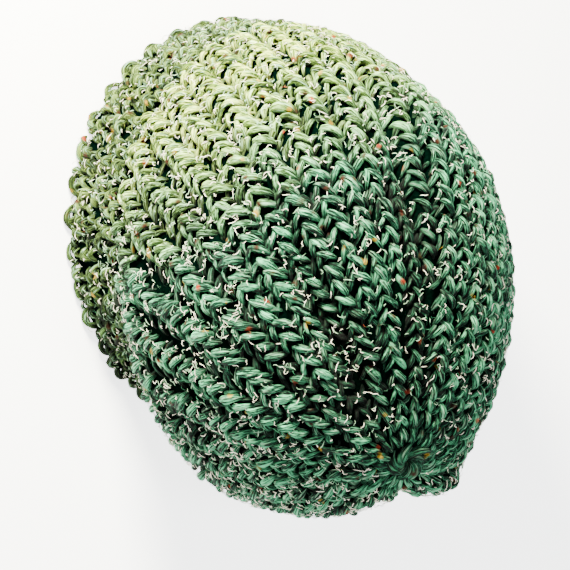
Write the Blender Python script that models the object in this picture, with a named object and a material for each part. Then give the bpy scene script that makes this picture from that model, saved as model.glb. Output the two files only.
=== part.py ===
import math

import bpy
import numpy as np

# Named sizes in metres and radians. X is the wearer's left, Y is towards the back of the head, Z is up.
# The hat stands on its rim at Z = 0, and its box is centred on X and Y.

RIM_WIDTH = 0.180  # across the rim, outside
RIM_DEPTH = 0.196  # along the rim from front to back, outside
LEAN_BACK = 0.106  # from the middle of the rim back to the gathered end
END_HEIGHT = 0.160  # from the rim up to the gathered end
SIDE_LEAN = 0.020  # unit of the crown's lean to the wearer's left
END_TIP = math.radians(28)  # how far the gathered end tips back
RIB_SWING = math.radians(10)  # unit of the ribs' drift towards the back on both sides
RIB_LEAN = math.radians(18)  # unit of the turn of the back ribs towards the wearer's right
LEAN_STEEPNESS = 2.5  # how quickly that turn begins at the wearer's left

RIBS = 38
RIB_TURN = math.radians(7.5)  # where the first rib stands
RIB_DEPTH = 0.004  # from a rib's crest to the groove beside it
BAND_RIB_DEPTH = 0.0016  # the same on the band
RIB_CROWDING = 0.35  # a rib is never deeper than this share of its own width
CROWN_WALL = 0.0045  # cloth under the grooves of the crown
BAND_WALL = 0.005  # cloth under the grooves of the band
SCALLOP = 0.003  # how far each bump of the rim stands out
SCALLOP_SHARE = 0.030  # share of the cloth length that the bumps take up
DIMPLE = 0.004  # how far the drawn-up middle is sunk
FOLD_DEPTH = 0.012  # unit of the folds' depth

BAND_SHARE = 0.16  # share of the cloth length from rim to end that is the band
SEAM_GAP = 0.0004  # between the band and the crown
BAND_SAMPLES = (4, 0.0)  # points round each rib of the band, and where the first lies between two of them
CROWN_SAMPLES = (3, 0.5)  # the same for the crown, with a point in each groove
PROBE = 0.002  # step, as a share, used to find which way the cloth faces

# Sections of the hat from the rim to the gathered end.
# along: share of the cloth length. side, back, up: middle of the section as shares of
# SIDE_LEAN, LEAN_BACK and END_HEIGHT. tip: share of END_TIP.
# width, depth: shares of RIM_WIDTH and RIM_DEPTH. swing: share of RIB_SWING. lean: share of RIB_LEAN.
SECTION_COLUMNS = ("along", "side", "back", "up", "tip", "width", "depth", "swing", "lean")
SECTIONS = (
    (0.00, 0.00, 0.00, 0.000, 0.00, 1.00, 1.00, 0.0, 0.0),
    (0.08, 0.00, 0.01, 0.145, 0.05, 0.98, 0.99, -0.3, 0.3),
    (0.16, 0.05, 0.06, 0.290, 0.15, 0.97, 1.02, -0.4, 0.6),
    (0.29, 0.20, 0.20, 0.430, 0.28, 0.98, 1.11, -0.3, 0.9),
    (0.42, 0.30, 0.26, 0.590, 0.34, 0.96, 1.07, -0.1, 1.0),
    (0.56, 0.30, 0.34, 0.755, 0.42, 0.91, 0.99, 0.2, 1.0),
    (0.70, 0.35, 0.48, 0.890, 0.58, 0.78, 0.84, 0.5, 0.9),
    (0.83, 0.15, 0.70, 0.995, 0.72, 0.52, 0.56, 0.9, 0.8),
    (0.93, 0.05, 0.88, 1.010, 0.85, 0.29, 0.30, 1.3, 0.6),
    (1.00, 0.00, 1.00, 1.000, 1.00, 0.09, 0.08, 1.6, 0.5),
)

# Folds and swells that run along the ribs.
# turn: where it lies, as a share of a full turn from the wearer's left towards the back.
# spread: its half width as a share of a full turn. start, end: shares of the cloth length.
# depth: share of FOLD_DEPTH, and a swell has a negative depth.
FOLD_COLUMNS = ("turn", "spread", "start", "end", "depth")
FOLDS = (
    (0.895, 0.022, 0.58, 1.00, 1.00),
    (0.830, 0.030, 0.50, 0.98, -0.35),
    (0.745, 0.016, 0.35, 0.96, 0.70),
    (0.250, 0.024, 0.45, 1.00, 1.00),
    (0.325, 0.035, 0.50, 1.00, -0.60),
    (0.150, 0.035, 0.30, 0.92, -0.25),
)

# Rows of the meshes, as shares of the cloth length of the band and of the crown.
BAND_OUTER_ROWS = (0.0, 0.07, 0.16, 0.30, 0.55, 0.80, 1.0)
BAND_INNER_ROWS = (0.0, 0.35, 0.70, 1.0)
CROWN_OUTER_ROWS = 25
CROWN_INNER_ROWS = 12


def column(table, names, name):
    return np.array([row[names.index(name)] for row in table], float)


def smooth(along, knots, values):
    """Run a smooth curve through the values of one column."""
    slopes = np.gradient(values, knots)
    first = np.clip(np.searchsorted(knots, along, side="right") - 1, 0, len(knots) - 2)
    span = knots[first + 1] - knots[first]
    t = (along - knots[first]) / span
    start = (1 + 2 * t) * (1 - t) ** 2 * values[first] + t * (1 - t) ** 2 * span * slopes[first]
    end = t * t * (3 - 2 * t) * values[first + 1] + t * t * (t - 1) * span * slopes[first + 1]
    return start + end


def cloth(turn, along):
    """Return the point of the plain cloth at an angle round the hat and a share of its length."""
    knots = column(SECTIONS, SECTION_COLUMNS, "along")
    side, back, up, tip, width, depth, swing, lean = (
        smooth(along, knots, column(SECTIONS, SECTION_COLUMNS, name)) for name in SECTION_COLUMNS[1:]
    )
    turned = (1 + np.tanh(LEAN_STEEPNESS * np.sin(turn))) / 2
    angle = turn + RIB_SWING * swing * np.cos(turn) + RIB_LEAN * lean * turned
    x = SIDE_LEAN * side + RIM_WIDTH / 2 * width * np.cos(angle)
    reach = RIM_DEPTH / 2 * depth * np.sin(angle)
    slope = END_TIP * tip
    y = LEAN_BACK * back + reach * np.cos(slope)
    z = END_HEIGHT * up - reach * np.sin(slope)
    return np.stack((x, y, z), axis=-1)


def facing(turn, along):
    """Return the outward direction of the plain cloth."""
    inside = np.clip(along, PROBE, 1 - PROBE)
    round_hat = cloth(turn + PROBE, inside) - cloth(turn - PROBE, inside)
    up_hat = cloth(turn, inside + PROBE) - cloth(turn, inside - PROBE)
    normal = np.cross(round_hat, up_hat)
    return normal / np.linalg.norm(normal, axis=-1, keepdims=True)


def fold_depth(turn, along):
    """Return how far the folds push the cloth in at each point."""
    total = np.zeros(np.broadcast(turn, along).shape)
    for row in FOLDS:
        fold = dict(zip(FOLD_COLUMNS, row))
        across = np.angle(np.exp(1j * (turn - fold["turn"] * math.tau)))
        away = across / (fold["spread"] * math.tau)
        reach = np.clip((along - fold["start"]) / (fold["end"] - fold["start"]), 0, 1)
        total = total + FOLD_DEPTH * fold["depth"] * np.exp(-(away**2)) * np.sin(math.pi * reach) ** 2
    return total


def rib_width(turn, along):
    """Return the width of one rib at each point."""
    step = cloth(turn + PROBE, along) - cloth(turn - PROBE, along)
    return np.linalg.norm(step, axis=-1) / (2 * PROBE) * math.tau / RIBS


def outer(turn, along, depth):
    """Return points of the outside, with its ribs and the bumps of the rim."""
    crest = np.abs(np.cos(RIBS * (turn - RIB_TURN) / 2))
    groove = np.minimum(depth, RIB_CROWDING * rib_width(turn, along)) * (1 - crest)
    edge = np.clip(1 - along / SCALLOP_SHARE, 0, 1)
    bump = SCALLOP * crest * np.sin(math.pi / 2 * edge)
    lift = bump - groove - fold_depth(turn, along)
    return cloth(turn, along) + facing(turn, along) * lift[..., None]


def inner(turn, along, wall, depth):
    """Return points of the inside of the cloth."""
    drop = wall + depth + fold_depth(turn, along)
    return cloth(turn, along) - facing(turn, along) * drop[..., None]


def round_hat(samples):
    """Return the angles of the points round the hat."""
    per_rib, shift = samples
    count = RIBS * per_rib
    return RIB_TURN + (np.arange(count) + shift) * math.tau / count


def shell(name, material, outside, inside, closed_end):
    """Make one closed body from rows of outside and inside points that start at the lower edge."""
    count = outside.shape[1]
    rows_out = outside.shape[0]
    rows_in = inside.shape[0]
    points = np.concatenate((outside.reshape(-1, 3), inside.reshape(-1, 3)))
    base = rows_out * count
    faces = []
    for i in range(count):
        j = (i + 1) % count
        for row in range(rows_out - 1):
            low, high = row * count, (row + 1) * count
            faces.append((low + i, low + j, high + j))
            faces.append((low + i, high + j, high + i))
        for row in range(rows_in - 1):
            low, high = base + row * count, base + (row + 1) * count
            faces.append((low + i, high + j, low + j))
            faces.append((low + i, high + i, high + j))
        faces.append((base + i, base + j, j))
        faces.append((base + i, j, i))
        top_out, top_in = (rows_out - 1) * count, base + (rows_in - 1) * count
        if closed_end:
            faces.append((top_out + i, top_out + j, len(points)))
            faces.append((top_in + i, len(points) + 1, top_in + j))
        else:
            faces.append((top_out + i, top_out + j, top_in + j))
            faces.append((top_out + i, top_in + j, top_in + i))
    if closed_end:
        sink = facing(np.zeros(1), np.ones(1))[0] * DIMPLE
        middles = (outside[-1].mean(axis=0) - sink, inside[-1].mean(axis=0) - sink)
        points = np.concatenate((points, middles))
    mesh = bpy.data.meshes.new(name)
    mesh.from_pydata(points.tolist(), [], faces)
    mesh.update()
    mesh.shade_smooth()
    mesh.materials.append(material)
    body = bpy.data.objects.new(name, mesh)
    bpy.context.scene.collection.objects.link(body)


def yarn(name, colour):
    material = bpy.data.materials.new(name)
    material.use_nodes = True
    shader = material.node_tree.nodes["Principled BSDF"]
    shader.inputs["Base Color"].default_value = (*colour, 1.0)
    shader.inputs["Roughness"].default_value = 0.9
    return material


for item in list(bpy.data.objects):
    bpy.data.objects.remove(item, do_unlink=True)

band_turns = round_hat(BAND_SAMPLES)
band_out = outer(*np.meshgrid(band_turns, np.array(BAND_OUTER_ROWS) * BAND_SHARE), BAND_RIB_DEPTH)
band_in = inner(*np.meshgrid(band_turns, np.array(BAND_INNER_ROWS) * BAND_SHARE), BAND_WALL, BAND_RIB_DEPTH)
band_out[0, :, 2] = 0
band_in[0, :, 2] = 0

crown_turns = round_hat(CROWN_SAMPLES)
crown_start = BAND_SHARE + SEAM_GAP / END_HEIGHT
crown_out = outer(*np.meshgrid(crown_turns, np.linspace(crown_start, 1, CROWN_OUTER_ROWS)), RIB_DEPTH)
crown_in = inner(*np.meshgrid(crown_turns, np.linspace(crown_start, 1, CROWN_INNER_ROWS)), CROWN_WALL, RIB_DEPTH)

everything = np.concatenate((band_out.reshape(-1, 3), crown_out.reshape(-1, 3)))
middle = (everything.min(axis=0) + everything.max(axis=0)) / 2 * (1, 1, 0)

shell("brim_band", yarn("brim_band", (0.10, 0.20, 0.12)), band_out - middle, band_in - middle, False)
shell("crown", yarn("crown", (0.08, 0.24, 0.16)), crown_out - middle, crown_in - middle, True)
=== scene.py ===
import math

import bpy
import numpy as np
from mathutils import Matrix, Vector


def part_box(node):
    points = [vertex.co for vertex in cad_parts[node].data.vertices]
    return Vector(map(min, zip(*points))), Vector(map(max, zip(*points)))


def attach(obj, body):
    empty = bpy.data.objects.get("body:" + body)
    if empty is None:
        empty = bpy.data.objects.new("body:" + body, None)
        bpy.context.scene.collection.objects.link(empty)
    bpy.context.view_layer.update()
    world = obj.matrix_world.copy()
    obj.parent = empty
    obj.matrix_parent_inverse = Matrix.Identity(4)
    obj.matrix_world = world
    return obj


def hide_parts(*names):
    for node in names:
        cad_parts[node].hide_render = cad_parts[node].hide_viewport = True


# Named sizes in metres and radians, the same as in the part's source.

RIM_WIDTH = 0.180
RIM_DEPTH = 0.196
LEAN_BACK = 0.106
END_HEIGHT = 0.160
SIDE_LEAN = 0.020
END_TIP = math.radians(28)
RIB_SWING = math.radians(10)
RIB_LEAN = math.radians(18)
LEAN_STEEPNESS = 2.5
RIBS = 38
RIB_TURN = math.radians(7.5)
RIB_DEPTH = 0.004
BAND_RIB_DEPTH = 0.0016
CROWN_WALL = 0.0045
BAND_WALL = 0.005
SCALLOP = 0.003
FOLD_DEPTH = 0.012
BAND_SHARE = 0.16
DIMPLE = 0.004
PROBE = 0.002

SECTION_COLUMNS = ("along", "side", "back", "up", "tip", "width", "depth", "swing", "lean")
SECTIONS = (
    (0.00, 0.00, 0.00, 0.000, 0.00, 1.00, 1.00, 0.0, 0.0),
    (0.08, 0.00, 0.01, 0.145, 0.05, 0.98, 0.99, -0.3, 0.3),
    (0.16, 0.05, 0.06, 0.290, 0.15, 0.97, 1.02, -0.4, 0.6),
    (0.29, 0.20, 0.20, 0.430, 0.28, 0.98, 1.11, -0.3, 0.9),
    (0.42, 0.30, 0.26, 0.590, 0.34, 0.96, 1.07, -0.1, 1.0),
    (0.56, 0.30, 0.34, 0.755, 0.42, 0.91, 0.99, 0.2, 1.0),
    (0.70, 0.35, 0.48, 0.890, 0.58, 0.78, 0.84, 0.5, 0.9),
    (0.83, 0.15, 0.70, 0.995, 0.72, 0.52, 0.56, 0.9, 0.8),
    (0.93, 0.05, 0.88, 1.010, 0.85, 0.29, 0.30, 1.3, 0.6),
    (1.00, 0.00, 1.00, 1.000, 1.00, 0.09, 0.08, 1.6, 0.5),
)
FOLD_COLUMNS = ("turn", "spread", "start", "end", "depth")
FOLDS = (
    (0.895, 0.022, 0.58, 1.00, 1.00),
    (0.830, 0.030, 0.50, 0.98, -0.35),
    (0.745, 0.016, 0.35, 0.96, 0.70),
    (0.250, 0.024, 0.45, 1.00, 1.00),
    (0.325, 0.035, 0.50, 1.00, -0.60),
    (0.150, 0.035, 0.30, 0.92, -0.25),
)

# Where the folds lie in painted shade, in the same columns, with the depth as a share of VALLEY_SHADE.
VALLEYS = (
    (0.892, 0.028, 0.74, 1.08, 1.00),
    (0.745, 0.015, 0.56, 1.06, 0.85),
    (0.690, 0.012, 0.60, 1.02, 0.40),
    (0.965, 0.012, 0.65, 0.98, 0.40),
)

# Stitches. One unit of their tables is a millimetre on a rib of the full width.
# across: sideways from the rib's middle, and more is towards the front on the hat's left side.
# along: from the stitch's start towards the gathered end. height: above the rib's crest.
# half: half the strand's thickness.
UNIT = 0.001
FULL_RIB = 0.0135
PITCH = 0.0069
BAND_PITCH = 0.0048
CROWD_START = 0.0100  # ribs narrower than this begin to merge in pairs towards the gathered end
CROWD_SPAN = 0.0030
CROWD_SINK = 0.0060  # how far every second rib sinks there
SINK_SHADE = 0.5  # share of that depth that also darkens the yarn, as painted shade
VALLEY_SINK = 0.0025  # how far the yarn in a valley is drawn in past the fold
VALLEY_SHADE = 0.0080  # how much deeper it looks, as painted shade that darkens the yarn
CROWD_GROWTH = 0.85  # how much wider the ribs between the sunk ones grow
CROWN_SCALES = (0.42, 1.25)  # smallest and largest size of a crown stitch
BAND_SCALES = (0.8, 1.1)  # the same for a band stitch
THICKEST = 1.1  # a strand grows no thicker than at this size
CROWN_STITCH_END = 0.998  # shares of the cloth length where the rows of stitches start and end
BAND_STITCH_START = 0.012
BAND_OVERLAP = 0.005
RIM_ALONG = 0.004
LAST_ALONG = 0.9995  # no strand point lies past this share of the cloth length
FLOOR_MARGIN = 0.15  # share of a strand's half thickness that keeps its plies off the floor
PATH_COLUMNS = ("across", "along", "height", "half")
LONG_LEG = (
    (-1.3, -1.6, -3.4, 0.8),
    (-0.4, -0.5, -1.4, 1.4),
    (0.9, 1.1, -0.5, 1.8),
    (2.5, 2.9, -0.5, 1.85),
    (4.0, 4.6, -1.5, 1.5),
    (5.2, 6.4, -3.6, 0.8),
)
SHORT_LEG = (
    (0.0, -0.9, -3.6, 0.7),
    (-1.1, 0.5, -2.1, 1.1),
    (-2.3, 2.1, -1.3, 1.3),
    (-3.4, 3.8, -1.5, 1.3),
    (-4.2, 5.4, -2.7, 1.0),
    (-4.8, 7.0, -4.4, 0.6),
)
INSIDE_PLY = (
    (1.2, -1.3, -4.2, 0.7),
    (2.2, 0.2, -2.8, 1.05),
    (3.5, 1.8, -2.2, 1.2),
    (4.7, 3.4, -2.6, 1.1),
    (5.7, 5.0, -4.2, 0.7),
)
GROOVE_STRAND = (
    (-2.8, -0.4, -5.0, 0.8),
    (-4.6, 1.5, -3.5, 1.15),
    (-6.4, 3.4, -3.3, 1.35),
    (-8.2, 5.4, -4.0, 1.15),
    (-9.8, 7.4, -5.6, 0.7),
)
BAND_NUB = (
    (-2.4, 1.7, -3.0, 0.8),
    (-1.3, 0.6, -1.5, 1.25),
    (0.1, 0.0, -0.9, 1.45),
    (1.5, 0.7, -1.5, 1.25),
    (2.6, 1.8, -3.0, 0.8),
)
BAND_BEAD = (
    (-1.6, 2.4, -3.2, 0.8),
    (-0.6, 0.9, -1.7, 1.25),
    (0.8, -0.6, -1.6, 1.3),
    (2.0, -1.9, -3.2, 0.8),
)
RIM_LOOP = (
    (-5.4, 2.6, -3.6, 1.0),
    (-3.8, 1.6, -1.8, 1.4),
    (-1.6, 1.2, -0.4, 1.6),
    (1.2, 1.2, -0.3, 1.6),
    (3.6, 1.6, -1.7, 1.4),
    (5.2, 2.6, -3.6, 1.0),
)

rng = np.random.default_rng(7)
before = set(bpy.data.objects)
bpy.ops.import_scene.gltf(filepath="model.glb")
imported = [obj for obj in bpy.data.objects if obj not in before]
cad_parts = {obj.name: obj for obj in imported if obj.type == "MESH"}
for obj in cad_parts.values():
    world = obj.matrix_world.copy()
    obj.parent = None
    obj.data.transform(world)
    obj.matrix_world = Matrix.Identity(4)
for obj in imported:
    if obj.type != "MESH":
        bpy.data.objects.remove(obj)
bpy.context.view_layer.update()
SHIFT = np.array((0.0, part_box("brim_band")[0].y + RIM_DEPTH / 2 + SCALLOP, 0.0))


def column(table, names, name):
    return np.array([row[names.index(name)] for row in table], float)


def smooth(along, knots, values):
    """Run a smooth curve through the values of one column."""
    slopes = np.gradient(values, knots)
    first = np.clip(np.searchsorted(knots, along, side="right") - 1, 0, len(knots) - 2)
    span = knots[first + 1] - knots[first]
    t = (along - knots[first]) / span
    start = (1 + 2 * t) * (1 - t) ** 2 * values[first] + t * (1 - t) ** 2 * span * slopes[first]
    end = t * t * (3 - 2 * t) * values[first + 1] + t * t * (t - 1) * span * slopes[first + 1]
    return start + end


def cloth(turn, along):
    """Return the point of the plain cloth at an angle round the hat and a share of its length."""
    knots = column(SECTIONS, SECTION_COLUMNS, "along")
    side, back, up, tip, width, depth, swing, lean = (
        smooth(along, knots, column(SECTIONS, SECTION_COLUMNS, name)) for name in SECTION_COLUMNS[1:]
    )
    turned = (1 + np.tanh(LEAN_STEEPNESS * np.sin(turn))) / 2
    angle = turn + RIB_SWING * swing * np.cos(turn) + RIB_LEAN * lean * turned
    x = SIDE_LEAN * side + RIM_WIDTH / 2 * width * np.cos(angle)
    reach = RIM_DEPTH / 2 * depth * np.sin(angle)
    slope = END_TIP * tip
    y = LEAN_BACK * back + reach * np.cos(slope)
    z = END_HEIGHT * up - reach * np.sin(slope)
    return np.stack((x, y, z), axis=-1) + SHIFT


def steps(turn, along):
    """Return how the plain cloth's point moves with the angle and with the share of length."""
    inside = np.clip(along, PROBE, 1 - PROBE)
    round_hat = (cloth(turn + PROBE, inside) - cloth(turn - PROBE, inside)) / (2 * PROBE)
    up_hat = (cloth(turn, inside + PROBE) - cloth(turn, inside - PROBE)) / (2 * PROBE)
    return round_hat, up_hat


def unit(vectors):
    return vectors / np.linalg.norm(vectors, axis=-1, keepdims=True)


def facing(turn, along):
    """Return the outward direction of the plain cloth."""
    return unit(np.cross(*steps(turn, along)))


def fold_depth(turn, along):
    """Return how far the folds push the cloth in at each point."""
    total = np.zeros(np.broadcast(turn, along).shape)
    for row in FOLDS:
        fold = dict(zip(FOLD_COLUMNS, row))
        across = np.angle(np.exp(1j * (turn - fold["turn"] * math.tau)))
        away = across / (fold["spread"] * math.tau)
        reach = np.clip((along - fold["start"]) / (fold["end"] - fold["start"]), 0, 1)
        total = total + FOLD_DEPTH * fold["depth"] * np.exp(-(away**2)) * np.sin(math.pi * reach) ** 2
    return total


def shade(turn, along):
    """Return how deep in shade each point of the cloth lies, as a share."""
    total = np.zeros(np.broadcast(turn, along).shape)
    for row in VALLEYS:
        valley = dict(zip(FOLD_COLUMNS, row))
        away = np.angle(np.exp(1j * (turn - valley["turn"] * math.tau))) / (valley["spread"] * math.tau)
        reach = np.clip((along - valley["start"]) / (valley["end"] - valley["start"]), 0, 1)
        total = total + valley["depth"] * np.exp(-(away**2)) * np.sin(math.pi * reach) ** 2
    return total


def rib_width(turn, along):
    return np.linalg.norm(steps(turn, along)[0], axis=-1) * math.tau / RIBS


def raised(turn, along, lift):
    """Return points of the folded cloth, lifted along the way that it faces."""
    return cloth(turn, along) + facing(turn, along) * (lift - fold_depth(turn, along))[..., None]


def lay(turn, along, local):
    """Place strand points, given from each stitch's start in the cloth's own directions."""
    round_hat, up_hat = steps(turn, along)
    run = unit(up_hat)
    side = unit(np.cross(np.cross(round_hat, up_hat), run))
    move = side[:, None] * local[..., :1] + run[:, None] * local[..., 1:2]
    pairs = ((round_hat, round_hat), (round_hat, up_hat), (up_hat, up_hat))
    a, b, c = ((one * other).sum(-1)[:, None] for one, other in pairs)
    p = (move * round_hat[:, None]).sum(-1)
    q = (move * up_hat[:, None]).sum(-1)
    share = a * c - b * b
    turns = turn[:, None] + (c * p - b * q) / share
    alongs = np.clip(along[:, None] + (a * q - b * p) / share, 0.0, LAST_ALONG)
    return raised(turns, alongs, local[..., 2]), facing(turns, alongs)


def make(name, points, corners, sizes, values, uvs, material, node):
    """Make one joined mesh piece that rides on the hat and stands for a CAD node."""
    mesh = bpy.data.meshes.new(name)
    mesh.vertices.add(len(points))
    mesh.vertices.foreach_set("co", np.ascontiguousarray(points, np.float32).ravel())
    mesh.loops.add(len(corners))
    mesh.loops.foreach_set("vertex_index", np.ascontiguousarray(corners, np.int32))
    mesh.polygons.add(len(sizes))
    starts = np.concatenate(((0,), np.cumsum(sizes)[:-1]))
    mesh.polygons.foreach_set("loop_start", starts.astype(np.int32))
    for label, value in values.items():
        mesh.attributes.new(label, "FLOAT", "POINT").data.foreach_set("value", value.astype(np.float32))
    layer = mesh.uv_layers.new(name="yarn")
    layer.data.foreach_set("uv", uvs.astype(np.float32).ravel())
    mesh.update(calc_edges=True)
    mesh.validate()
    mesh.shade_smooth()
    mesh.materials.append(material)
    piece = bpy.data.objects.new(name, mesh)
    bpy.context.scene.collection.objects.link(piece)
    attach(piece, "root")
    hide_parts(node)
    return piece


def strands(name, centre, up, half, level, material, node, around=10, plies=2, ply=0.12, twist=2.0, flat=0.85):
    """Make plied strands with tapered ends from rows of middle points."""
    count, rings = centre.shape[:2]
    ahead = unit(np.gradient(centre, axis=1))
    side = unit(np.cross(ahead, up))
    top = np.cross(side, ahead)
    phi = -math.pi / 2 + np.arange(around) * math.tau / around
    step = np.linspace(0, 1, rings)
    start = rng.uniform(0, math.tau, count)
    spin = plies * (phi[None, None] - twist * math.tau / 2 * step[None, :, None]) + start[:, None, None]
    girth = half[..., None] * (1 + ply * np.cos(spin))
    ring = centre[:, :, None] + side[:, :, None] * (girth * np.cos(phi))[..., None]
    ring = ring + top[:, :, None] * (girth * flat * np.sin(phi))[..., None]
    first_tip = centre[:, 0] - ahead[:, 0] * half[:, :1]
    last_tip = centre[:, -1] + ahead[:, -1] * half[:, -1:]
    tips = np.stack((first_tip, last_tip), axis=1)
    points = np.concatenate((ring.reshape(-1, 3), tips.reshape(-1, 3)))
    base = (np.arange(count) * rings * around)[:, None, None]
    row = (np.arange(rings - 1) * around)[None, :, None]
    i = np.arange(around)[None, None]
    j = (i + 1) % around
    low, high = base + row, base + row + around
    quads = np.stack(np.broadcast_arrays(low + i, low + j, high + j, high + i), -1)
    tip = count * rings * around + 2 * np.arange(count)[:, None]
    near_i, near_j = base[:, 0] + i[0], base[:, 0] + j[0]
    far_i, far_j = near_i + (rings - 1) * around, near_j + (rings - 1) * around
    first_cap = np.stack(np.broadcast_arrays(tip, near_j, near_i), -1)
    last_cap = np.stack(np.broadcast_arrays(tip + 1, far_i, far_j), -1)
    caps = np.concatenate((first_cap.reshape(-1, 3), last_cap.reshape(-1, 3)))
    corners = np.concatenate((quads.reshape(-1), caps.reshape(-1)))
    sizes = np.concatenate((np.full(count * (rings - 1) * around, 4), np.full(len(caps), 3)))
    length = np.linalg.norm(np.diff(centre, axis=1), axis=2).sum(1)
    u = step[None, :, None] * length[:, None, None] / UNIT
    v = (np.arange(around + 1) / around)[None, None] * half.max(axis=1)[:, None, None] * math.tau / UNIT
    left, right, near, far = np.broadcast_arrays(u[:, :-1], u[:, 1:], v[..., :-1], v[..., 1:])
    quad_corners = ((left, near), (left, far), (right, far), (right, near))
    quad_uv = np.stack([np.stack(corner, -1) for corner in quad_corners], -2)
    uvs = np.concatenate((quad_uv.reshape(-1, 2), np.zeros((len(caps) * 3, 2))))
    tint = rng.uniform(0, 1, count)
    # The level drives the yarn's painted shade; it is lower on each strand's underside.
    ring_level = level[..., None] + girth * flat * np.sin(phi)
    values = {
        "tint": np.concatenate((np.repeat(tint, rings * around), np.repeat(tint, 2))),
        "level": np.concatenate((ring_level.reshape(-1), level[:, (0, -1)].reshape(-1))),
    }
    make(name, points, corners, sizes, values, uvs, material, node)


def follow(path, rings):
    """Return the smooth run of a strand's path as rows of across, along, height and half."""
    knots = np.linspace(0, 1, len(path))
    spots = np.linspace(0, 1, rings)
    return np.stack([smooth(spots, knots, column(path, PATH_COLUMNS, name)) for name in PATH_COLUMNS], -1)


def stitched(name, path, stitches, material, node, rings=10, loose=1.0, deeper=0.0, **shape):
    """Lay one strand of the same path in every stitch, each a little different."""
    turn, along, scale, sink = stitches
    count = len(turn)
    run = np.repeat(follow(path, rings)[None], count, 0)
    size = scale * rng.normal(1, 0.07 * loose, count)
    scale = np.minimum(scale, THICKEST)
    lean = rng.normal(0, 0.10 * loose, count)
    across = run[..., 0] * np.cos(lean)[:, None] - run[..., 1] * np.sin(lean)[:, None]
    ahead = run[..., 1] * np.cos(lean)[:, None] + run[..., 0] * np.sin(lean)[:, None]
    local = np.stack((across * size[:, None], ahead, run[..., 2] * np.sqrt(scale)[:, None]), -1) * UNIT
    local[..., :2] += rng.normal(0, 0.35 * loose, (count, 1, 2)) * UNIT
    local[..., 2] += rng.normal(0, 0.25 * loose, (count, 1)) * UNIT - sink[:, None] - deeper
    centre, up = lay(turn, along, local)
    half = run[..., 3] * UNIT * (np.sqrt(scale) * rng.normal(1, 0.10 * loose, count))[:, None]
    centre[..., 2] = np.maximum(centre[..., 2], half * (1 + FLOOR_MARGIN))
    # Painted shade: the level drops with the sink and in the valleys, which darkens the yarn there.
    level = local[..., 2] + sink[:, None] * (1 - SINK_SHADE) - VALLEY_SHADE * shade(turn, along)[:, None]
    strands(name, centre, up, half, level, material, node, **shape)


# Where the stitches lie.

rib_turns = RIB_TURN + np.arange(RIBS) * math.tau / RIBS
shares = np.linspace(0, 1, 401)
rib_lines = cloth(rib_turns[:, None], shares[None])
rib_steps = np.linalg.norm(np.diff(rib_lines, axis=1), axis=2)
lengths = np.concatenate((np.zeros((RIBS, 1)), np.cumsum(rib_steps, axis=1)), axis=1)


def spaced(start, end, pitch):
    """Return the angle, share and rib of evenly spaced stitches from one share of the length to another."""
    turns, alongs, ribs = [], [], []
    for rib in range(RIBS):
        low, high = np.interp((start, end), shares, lengths[rib])
        number = max(1, round((high - low) / pitch))
        marks = low + (high - low) * np.arange(number) / number
        alongs.append(np.interp(marks, lengths[rib], shares))
        turns.append(np.full(number, rib_turns[rib]))
        ribs.append(np.full(number, rib))
    return np.concatenate(turns), np.concatenate(alongs), np.concatenate(ribs)


turn, along, rib = spaced(BAND_SHARE, CROWN_STITCH_END, PITCH)
wide = rib_width(turn, along)
crowd = np.clip((CROWD_START - wide) / CROWD_SPAN, 0, 1)
sink = np.where(rib % 2 == 1, CROWD_SINK * crowd, 0.0) + VALLEY_SINK * shade(turn, along)
scale = np.clip(wide * (1 + CROWD_GROWTH * crowd * (rib % 2 == 0)) / FULL_RIB, *CROWN_SCALES)
crown_stitches = (turn, along, scale, sink)


def across_rib(stitches, share):
    """Move stitches sideways by a share of a rib."""
    turn, along, scale, sink = stitches
    return turn + share * math.tau / RIBS, along, scale, sink


turn, along, rib = spaced(BAND_STITCH_START, BAND_SHARE + BAND_OVERLAP, BAND_PITCH)
band_scale = np.clip(rib_width(turn, along) / FULL_RIB, *BAND_SCALES)
band_stitches = (turn, along, band_scale, np.zeros(len(turn)))
rim_stitches = (rib_turns, np.full(RIBS, RIM_ALONG), np.ones(RIBS), np.zeros(RIBS))


# Materials.


def linear(red, green, blue):
    """Turn a colour on the 255 scale into the renderer's own scale."""
    shares = (red / 255, green / 255, blue / 255)
    return tuple(v / 12.92 if v < 0.0431 else ((v + 0.055) / 1.055) ** 2.4 for v in shares)


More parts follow.
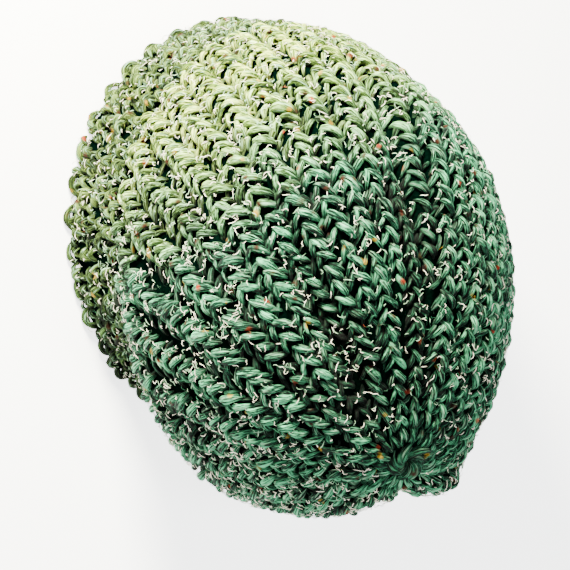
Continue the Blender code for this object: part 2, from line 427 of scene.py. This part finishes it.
class Nodes:
    """Short ways of adding shader nodes."""

    def __init__(self, name):
        self.material = bpy.data.materials.new(name)
        self.material.use_nodes = True
        self.tree = self.material.node_tree
        self.shader = self.tree.nodes["Principled BSDF"]

    def add(self, kind, inputs=None, **settings):
        node = self.tree.nodes.new(kind)
        for key, value in settings.items():
            setattr(node, key, value)
        for key, value in (inputs or {}).items():
            if isinstance(value, bpy.types.NodeSocket):
                self.tree.links.new(value, node.inputs[key])
            else:
                node.inputs[key].default_value = value
        return node

    def math(self, operation, a, b=0.0, c=0.0, clamp=False):
        return self.add("ShaderNodeMath", {0: a, 1: b, 2: c}, operation=operation, use_clamp=clamp).outputs[0]

    def mix(self, share, a, b, blend="MIX"):
        node = self.add("ShaderNodeMix", data_type="RGBA", blend_type=blend)
        for index, value in ((0, share), (6, a), (7, b)):
            if isinstance(value, bpy.types.NodeSocket):
                self.tree.links.new(value, node.inputs[index])
            else:
                node.inputs[index].default_value = (*value, 1.0) if isinstance(value, tuple) else value
        return node.outputs[2]

    def ramp(self, value, *stops):
        node = self.add("ShaderNodeValToRGB", {"Fac": value})
        ramp = node.color_ramp
        while len(ramp.elements) < len(stops):
            ramp.elements.new(1.0)
        for element, (place, colour) in zip(ramp.elements, stops):
            element.position = place
            element.color = (*colour, 1.0)
        return node.outputs[0]

    def finish(self, colour, height, distance, strength=1.0, shine=0.12):
        self.tree.links.new(colour, self.shader.inputs["Base Color"])
        bump = self.add("ShaderNodeBump", {"Height": height, "Distance": distance, "Strength": strength})
        self.tree.links.new(bump.outputs[0], self.shader.inputs["Normal"])
        self.shader.inputs["Roughness"].default_value = 0.85
        self.shader.inputs["Specular IOR Level"].default_value = shine
        return self.material


YELLOW_AND_LIT_SIDE = (0.44, -0.87, -0.24)  # the yarn turns yellow green and lighter this way: partly its own colour, partly painted light on the key lamp's side
WARM_START, WARM_FULL = 0.006, 0.072  # where it begins to and where it has
WARM_PATCHES = 0.06  # how far patches move that border
FLECK_SCALE = 330.0
FLECKS = (  # channel of the random colour, value above which a cell is a fleck, and its colour
    (0, 0.990, linear(150, 44, 20)),
    (1, 0.991, linear(170, 132, 24)),
    (2, 0.975, linear(60, 26, 16)),
)
DEEP, OPEN_AIR = -0.0050, 0.0004  # levels of the darkest painted shade and of the fully lit yarn
DEEP_LIGHT = 0.03  # share of its colour that the deepest yarn keeps under the painted shade


def yarn(name, dark, mid, light, warm=1.0):
    n = Nodes(name)
    place = n.add("ShaderNodeTexCoord").outputs["Object"]
    uv = n.add("ShaderNodeUVMap", uv_map="yarn").outputs[0]
    tint = n.add("ShaderNodeAttribute", attribute_name="tint").outputs["Fac"]
    apart = {"X": tint, "Y": n.math("MULTIPLY", tint, 61.0), "Z": n.math("MULTIPLY", tint, 17.0)}
    shift = n.add("ShaderNodeCombineXYZ", apart).outputs[0]
    slant = {"Vector": uv, "Rotation": (0, 0, 0.32), "Scale": (0.20, 1.5, 1.0)}
    slanted = n.add("ShaderNodeMapping", slant).outputs[0]
    spot = n.add("ShaderNodeVectorMath", {0: slanted, 1: shift}, operation="ADD").outputs[0]
    fibres = {"Vector": spot, "Scale": 1.0, "Detail": 3.0, "Roughness": 0.65}
    fibre = n.add("ShaderNodeTexNoise", fibres).outputs["Fac"]
    bright = n.add("ShaderNodeTexNoise", {"Vector": spot, "Scale": 0.8, "Detail": 1.5}, noise_dimensions="4D")
    bright.inputs["W"].default_value = 3.0
    bright = bright.outputs["Fac"]
    cloud = n.add("ShaderNodeTexNoise", {"Vector": place, "Scale": 75.0, "Detail": 3.0}).outputs["Fac"]
    tone = n.math("MULTIPLY", n.math("SUBTRACT", fibre, 0.5), 4.0)
    tone = n.math("ADD", tone, n.math("MULTIPLY", n.math("SUBTRACT", cloud, 0.5), 1.0))
    tone = n.math("ADD", tone, n.math("MULTIPLY", n.math("SUBTRACT", tint, 0.5), 0.35))
    tone = n.math("ADD", tone, 0.45)
    # Light mint streaks along the strands: partly pale fibres in the yarn, partly painted highlight.
    pale_streak_and_highlight = n.add("ShaderNodeMapRange", {"Value": bright, "From Min": 0.57, "From Max": 0.72}).outputs[0]
    colour = n.ramp(tone, (0.05, dark), (0.45, mid), (0.95, light))
    side = n.add("ShaderNodeVectorMath", {0: place, 1: YELLOW_AND_LIT_SIDE}, operation="DOT_PRODUCT").outputs["Value"]
    patch = n.add("ShaderNodeTexNoise", {"Vector": place, "Scale": 28.0, "Detail": 2.0}).outputs["Fac"]
    side = n.math("ADD", side, n.math("MULTIPLY", n.math("SUBTRACT", patch, 0.5), WARM_PATCHES))
    border = {"Value": side, "From Min": WARM_START, "From Max": WARM_FULL}
    share = n.math("MULTIPLY", n.add("ShaderNodeMapRange", border).outputs[0], warm)
    # This ramp is lighter as well as yellower: painted light towards the lamp, on top of the yarn's own yellower
    # colour.
    yellow = n.ramp(tone, (0.05, linear(26, 42, 8)), (0.45, linear(96, 128, 34)), (0.95, linear(206, 220, 110)))
    colour = n.mix(share, colour, yellow)
    colour = n.mix(n.math("MULTIPLY", pale_streak_and_highlight, 0.5), colour, linear(172, 230, 186))
    cells = n.add("ShaderNodeTexVoronoi", {"Vector": place, "Scale": FLECK_SCALE, "Randomness": 1.0})
    pick = n.add("ShaderNodeSeparateColor", {"Color": cells.outputs["Color"]})
    near = n.math("SUBTRACT", 1.0, n.math("MULTIPLY", cells.outputs["Distance"], 1.3), clamp=True)
    frayed = n.math("MULTIPLY", near, n.math("MULTIPLY", fibre, 2.4), clamp=True)
    for channel, limit, fleck in FLECKS:
        chosen = n.math("GREATER_THAN", pick.outputs[channel], limit)
        colour = n.mix(n.math("MULTIPLY", chosen, frayed), colour, fleck)
    # Painted shade: the colour darkens with the yarn's level, deep in grooves and folds and on strands'
    # undersides.
    level = n.add("ShaderNodeAttribute", attribute_name="level").outputs["Fac"]
    span = {"Value": level, "From Min": DEEP, "From Max": OPEN_AIR, "To Min": DEEP_LIGHT, "To Max": 1.0}
    lit = n.add("ShaderNodeMapRange", span).outputs[0]
    painted_shade_grey = n.add("ShaderNodeCombineColor", {0: lit, 1: lit, 2: lit}).outputs[0]
    colour = n.mix(1.0, colour, painted_shade_grey, "MULTIPLY")
    height = n.math("ADD", n.math("MULTIPLY", fibre, 0.7), n.math("MULTIPLY", bright, 0.3))
    return n.finish(colour, height, 0.0022)


def plain_yarn(name, dark, light, scale=900.0, painted_glow=0.0):
    n = Nodes(name)
    # Painted light: with a glow above nought the yarn gives off its light colour, though it is no lamp.
    n.shader.inputs["Emission Color"].default_value = (*light, 1.0)
    n.shader.inputs["Emission Strength"].default_value = painted_glow
    place = n.add("ShaderNodeTexCoord").outputs["Object"]
    fine = n.add("ShaderNodeTexNoise", {"Vector": place, "Scale": scale, "Detail": 3.0}).outputs["Fac"]
    broad = n.add("ShaderNodeTexNoise", {"Vector": place, "Scale": scale / 6, "Detail": 2.0}).outputs["Fac"]
    tone = n.math("ADD", n.math("MULTIPLY", fine, 0.6), n.math("MULTIPLY", broad, 0.5))
    return n.finish(n.ramp(tone, (0.35, dark), (0.75, light)), fine, 0.0006, shine=0.0)


teal = yarn("crown_yarn", linear(1, 9, 6), linear(4, 45, 31), linear(88, 180, 130))
# A darker copy of the crown yarn for the groove strands, inside plies and gathered end: painted shade.
teal_painted_shade = yarn("crown_groove_yarn_painted_shade", linear(1, 7, 4), linear(3, 30, 20), linear(60, 134, 96))
olive = yarn("band_yarn", linear(2, 7, 2), linear(13, 32, 12), linear(74, 108, 52), warm=0.18)
# The under cloth is near black: painted shade in the gaps between the strands.
under = plain_yarn("under_cloth_yarn_painted_shade", linear(0, 2, 1), linear(1, 10, 6))
# The white curls glow a little: painted light that brightens them.
curl = plain_yarn("curl_fibres", linear(216, 206, 176), linear(254, 250, 232), painted_glow=0.35)
pale_fibre = plain_yarn("pale_green_fibres", linear(96, 150, 112), linear(196, 226, 190))

# Strands.

CROWN_LAYERS = (
    ("crown_long_legs", LONG_LEG, teal, {"rings": 7, "around": 9, "loose": 1.5}),
    ("crown_inside_plies", INSIDE_PLY, teal_painted_shade, {"rings": 5, "around": 6, "loose": 1.6}),
    ("crown_short_legs", SHORT_LEG, teal, {"rings": 7, "around": 8, "loose": 1.6}),
    ("crown_groove_strands", GROOVE_STRAND, teal_painted_shade, {"rings": 6, "around": 6, "loose": 2.0}),
)
for name, path, material, shape in CROWN_LAYERS:
    stitched(name, path, crown_stitches, material, "crown", **shape)

BAND_LAYERS = (  # the number is how far across its rib each stitch lies
    ("band_nubs", BAND_NUB, 0.12, {"loose": 3.0}),
    ("band_beads", BAND_BEAD, -0.28, {"loose": 3.5}),
    ("band_groove_nubs", BAND_NUB, 0.45, {"loose": 4.0, "deeper": 0.0004}),
)
for name, path, share, shape in BAND_LAYERS:
    stitched(name, path, across_rib(band_stitches, share), olive, "brim_band", rings=6, around=8, **shape)
stitched("rim_loops", RIM_LOOP, rim_stitches, olive, "brim_band", rings=12, around=12)


def gathered(rows):
    """Carry rows of points on into the drawn-up middle."""
    middle = rows[-1].mean(axis=0)
    into = -facing(np.zeros(1), np.ones(1))[0] * DIMPLE
    more = [middle + (rows[-1] - middle) * share + into * (1 - share) for share in (0.7, 0.4, 0.15, 0.02)]
    return np.concatenate((rows, np.stack(more)))


COVER_CREST, COVER_GROOVE = 0.0030, 0.0026  # yarn above the under cloth at a crest, and how much more in a groove
COVER_SHARE, COVER_LEAST = 0.45, 0.001  # it is never more than this share of a rib's width and this much
NUB, NUB_ROWS = 0.0011, 26  # height of the inside's nubs, and how many rows they make
INSIDE_LIFT = 0.0006
FLOOR_GAP = 0.0006
SHELL_GAP = 0.001  # share of the cloth length left at each end of a shell
SHELL_PER_RIB = 6
SHELL_LEVEL = -0.006  # the under cloth lies in shade


def shell(name, start, end, wall, depth, rows, inner_rows, material, node):
    """Make the cloth under the strands as one closed shell whose inside is knobbly."""
    count = RIBS * SHELL_PER_RIB
    turns = RIB_TURN + np.arange(count) * math.tau / count
    crest = np.abs(np.cos(RIBS * (turns - RIB_TURN) / 2))[None]
    out_turn, out_along = np.meshgrid(turns, np.linspace(start, end, rows))
    in_turn, in_along = np.meshgrid(turns, np.linspace(start, end, inner_rows))
    most = COVER_SHARE * rib_width(out_turn, out_along) + COVER_LEAST
    outside = raised(out_turn, out_along, -np.minimum(COVER_CREST + COVER_GROOVE * (1 - crest), most))
    groove = np.abs(np.sin(RIBS * (in_turn - RIB_TURN) / 2))
    nubs = NUB * groove * np.cos(math.tau * in_along * NUB_ROWS) ** 2
    inside = raised(in_turn, in_along, INSIDE_LIFT - wall - depth - nubs)
    if node == "crown":
        outside, inside = gathered(outside), gathered(inside)
        rows, inner_rows = len(outside), len(inside)
    for face in (outside, inside):
        face[..., 2] = np.maximum(face[..., 2], FLOOR_GAP)
    points = np.concatenate((outside.reshape(-1, 3), inside.reshape(-1, 3)))
    base = rows * count
    i = np.arange(count)
    j = (i + 1) % count
    quads = []
    for row in range(rows - 1):
        low = row * count
        quads.append(np.stack((low + i, low + j, low + count + j, low + count + i), -1))
    for row in range(inner_rows - 1):
        low = base + row * count
        quads.append(np.stack((low + i, low + count + i, low + count + j, low + j), -1))
    quads.append(np.stack((base + i, base + j, j, i), -1))
    top_out, top_in = (rows - 1) * count, base + (inner_rows - 1) * count
    quads.append(np.stack((top_out + i, top_out + j, top_in + j, top_in + i), -1))
    corners = np.concatenate(quads)
    uvs = np.zeros((corners.size, 2))
    values = {"tint": np.zeros(len(points)), "level": np.full(len(points), SHELL_LEVEL)}
    return make(name, points, corners.reshape(-1), np.full(len(corners), 4), values, uvs, material, node)


band_span = (RIM_ALONG, BAND_SHARE - SHELL_GAP)
crown_span = (BAND_SHARE + SHELL_GAP, 1 - SHELL_GAP)
band_cloth = shell("band_cloth", *band_span, BAND_WALL, BAND_RIB_DEPTH, 16, 22, under, "brim_band")
crown_cloth = shell("crown_cloth", *crown_span, CROWN_WALL, RIB_DEPTH, 60, 80, under, "crown")


GATHER_OUTER, GATHER_INNER = 0.0098, 0.0012  # reach of a strand from the middle at its start and at its end
GATHER_SINK = 0.0024  # how far both ends dip
GATHER_HALF = 0.0015
GATHER_SWIRL = 1.5  # angle that a strand runs round the middle
# painted shade: how much lower the gathered end's level is set, which darkens its yarn
GATHER_SHADE = 0.0018


def gather(name, number, material):
    """Run fat strands over the drawn-up end and down into its middle."""
    rings = 9
    t = np.linspace(0, 1, rings)[None]
    turn = np.arange(number) * math.tau / number + rng.normal(0, 0.15, number)
    turn = turn[:, None] + GATHER_SWIRL * t
    edge = cloth(np.linspace(0, math.tau, 24, endpoint=False), np.ones(24))
    middle = edge.mean(axis=0)
    up = facing(np.zeros(1), np.ones(1))[0]
    across = np.array((1.0, 0.0, 0.0))
    reach = (GATHER_OUTER * (1 - t) + GATHER_INNER * t) * rng.normal(1, 0.2, (number, 1))
    arch = -0.0010 + 0.0010 * np.sin(math.pi * t) - GATHER_SINK * (t**2 + (1 - t) ** 3)
    lift = arch + rng.normal(0, 0.0007, (number, 1))
    way = np.cos(turn)[..., None] * across + np.sin(turn)[..., None] * np.cross(up, across)
    centre = middle + reach[..., None] * way + lift[..., None] * up
    half = GATHER_HALF * np.sin(math.pi * (0.2 + 0.62 * t)) * rng.normal(1, 0.15, (number, 1))
    strands(name, centre, np.broadcast_to(up, centre.shape), half, lift - GATHER_SHADE, material, "crown")


CURL_RINGS = 6
CURL_SPAN = (0.01, 0.97)  # shares of the cloth length between which fibres stand
CURL_RIB = 0.0175  # width of a rib on which every fibre is kept, to spread them evenly
CURL_LOW = 0.0008  # the lowest that one lies above the floor
TRIES = 3  # fibres drawn for each one kept, at most


def curls(name, number, reach, thick, material, stand):
    """Scatter short curling fibres over the hat."""
    turn = rng.uniform(0, math.tau, number * TRIES)
    along = rng.uniform(*CURL_SPAN, number * TRIES)
    keep = rng.uniform(0, CURL_RIB, number * TRIES) < rib_width(turn, along)
    turn, along = turn[keep][:number], along[keep][:number]
    t = np.linspace(0, 1, CURL_RINGS)[None]
    n = len(turn)
    heading = rng.uniform(0, math.tau, n)[:, None] + rng.normal(0, 1.6, n)[:, None] * t
    heading = heading + rng.normal(0, 0.8, n)[:, None] * np.sin(math.tau * t)
    length = reach * rng.uniform(0.5, 1.3, n)[:, None]
    step = length / (CURL_RINGS - 1)
    local = np.stack((np.cumsum(np.cos(heading) * step, 1), np.cumsum(np.sin(heading) * step, 1)), -1)
    rise = stand * rng.uniform(0.2, 1.0, n)[:, None]
    lift = -0.0004 + rise * np.sin(math.pi * t * rng.uniform(0.5, 1.0, n)[:, None])
    centre, up = lay(turn, along, np.concatenate((local, lift[..., None]), -1))
    centre[..., 2] = np.maximum(centre[..., 2], CURL_LOW)
    half = thick / 2 * np.sin(math.pi * (0.15 + 0.7 * t)) * rng.uniform(0.7, 1.2, n)[:, None]
    strands(name, centre, up, half, lift, material, "crown", around=3, plies=1, ply=0.0, flat=1.0)


gather("gathered_end", 18, teal_painted_shade)
curls("white_curls", 3600, 0.0034, 0.00036, curl, 0.0014)
curls("pale_fibres", 3000, 0.0032, 0.00034, pale_fibre, 0.0010)
curls("green_fuzz", 2000, 0.0046, 0.00020, teal, 0.0020)

# Floor, light and camera.


def lamp(name, direction, distance, size, energy, colour=(1, 1, 1)):
    data = bpy.data.lights.new(name, "AREA")
    data.shape = "DISK"
    data.size = size
    data.energy = energy
    data.color = colour
    item = bpy.data.objects.new(name, data)
    bpy.context.scene.collection.objects.link(item)
    way = Vector(direction).normalized()
    item.location = Vector((0, 0, 0.08)) + way * distance
    item.rotation_euler = way.to_track_quat("Z", "Y").to_euler()


floor_mesh = bpy.data.meshes.new("floor")
floor_mesh.from_pydata([(-6, -6, 0), (6, -6, 0), (6, 6, 0), (-6, 6, 0)], [], [(0, 1, 2, 3)])
pale = Nodes("floor_pale")
pale.shader.inputs["Base Color"].default_value = (0.9, 0.9, 0.9, 1)
pale.shader.inputs["Roughness"].default_value = 0.9
pale.shader.inputs["Emission Color"].default_value = (1, 1, 1, 1)
pale.shader.inputs["Emission Strength"].default_value = 3.2
floor_mesh.materials.append(pale.material)
floor = bpy.data.objects.new("floor", floor_mesh)
bpy.context.scene.collection.objects.link(floor)

lamp("key", (0.50, -0.78, 0.46), 0.58, 0.16, 40, (1.0, 0.96, 0.76))
lamp("top", (0.1, 0.1, 1.0), 1.6, 0.4, 18, (0.96, 1.0, 0.98))
lamp("fill", (-0.5, 0.8, 0.8), 1.6, 0.3, 20, (0.92, 1.0, 0.98))
world = bpy.data.worlds.new("studio")
world.use_nodes = True
world.node_tree.nodes["Background"].inputs[0].default_value = (1.0, 1.0, 1.0, 1.0)
world.node_tree.nodes["Background"].inputs[1].default_value = 0.26
bpy.context.scene.world = world

ELEVATION = math.radians(61)
to_camera = Vector((math.cos(ELEVATION), 0.0, math.sin(ELEVATION)))
picture_right = Vector((-math.sin(ELEVATION), 0.0, math.cos(ELEVATION)))
picture_down = Vector((0.0, 1.0, 0.0))
aim = picture_right * 0.0235 + picture_down * 0.0280 + to_camera * 0.08 + Vector(SHIFT)
DISTANCE = 1.8
PICTURE = 0.2591
camera_data = bpy.data.cameras.new("camera")
camera_data.sensor_width = 36
camera_data.lens = 36 * DISTANCE / PICTURE
camera_data.clip_end = 20
camera = bpy.data.objects.new("camera", camera_data)
bpy.context.scene.collection.objects.link(camera)
turned = Matrix((picture_right, -picture_down, to_camera)).transposed()
camera.matrix_world = Matrix.Translation(aim + to_camera * DISTANCE) @ turned.to_4x4()
bpy.context.scene.camera = camera
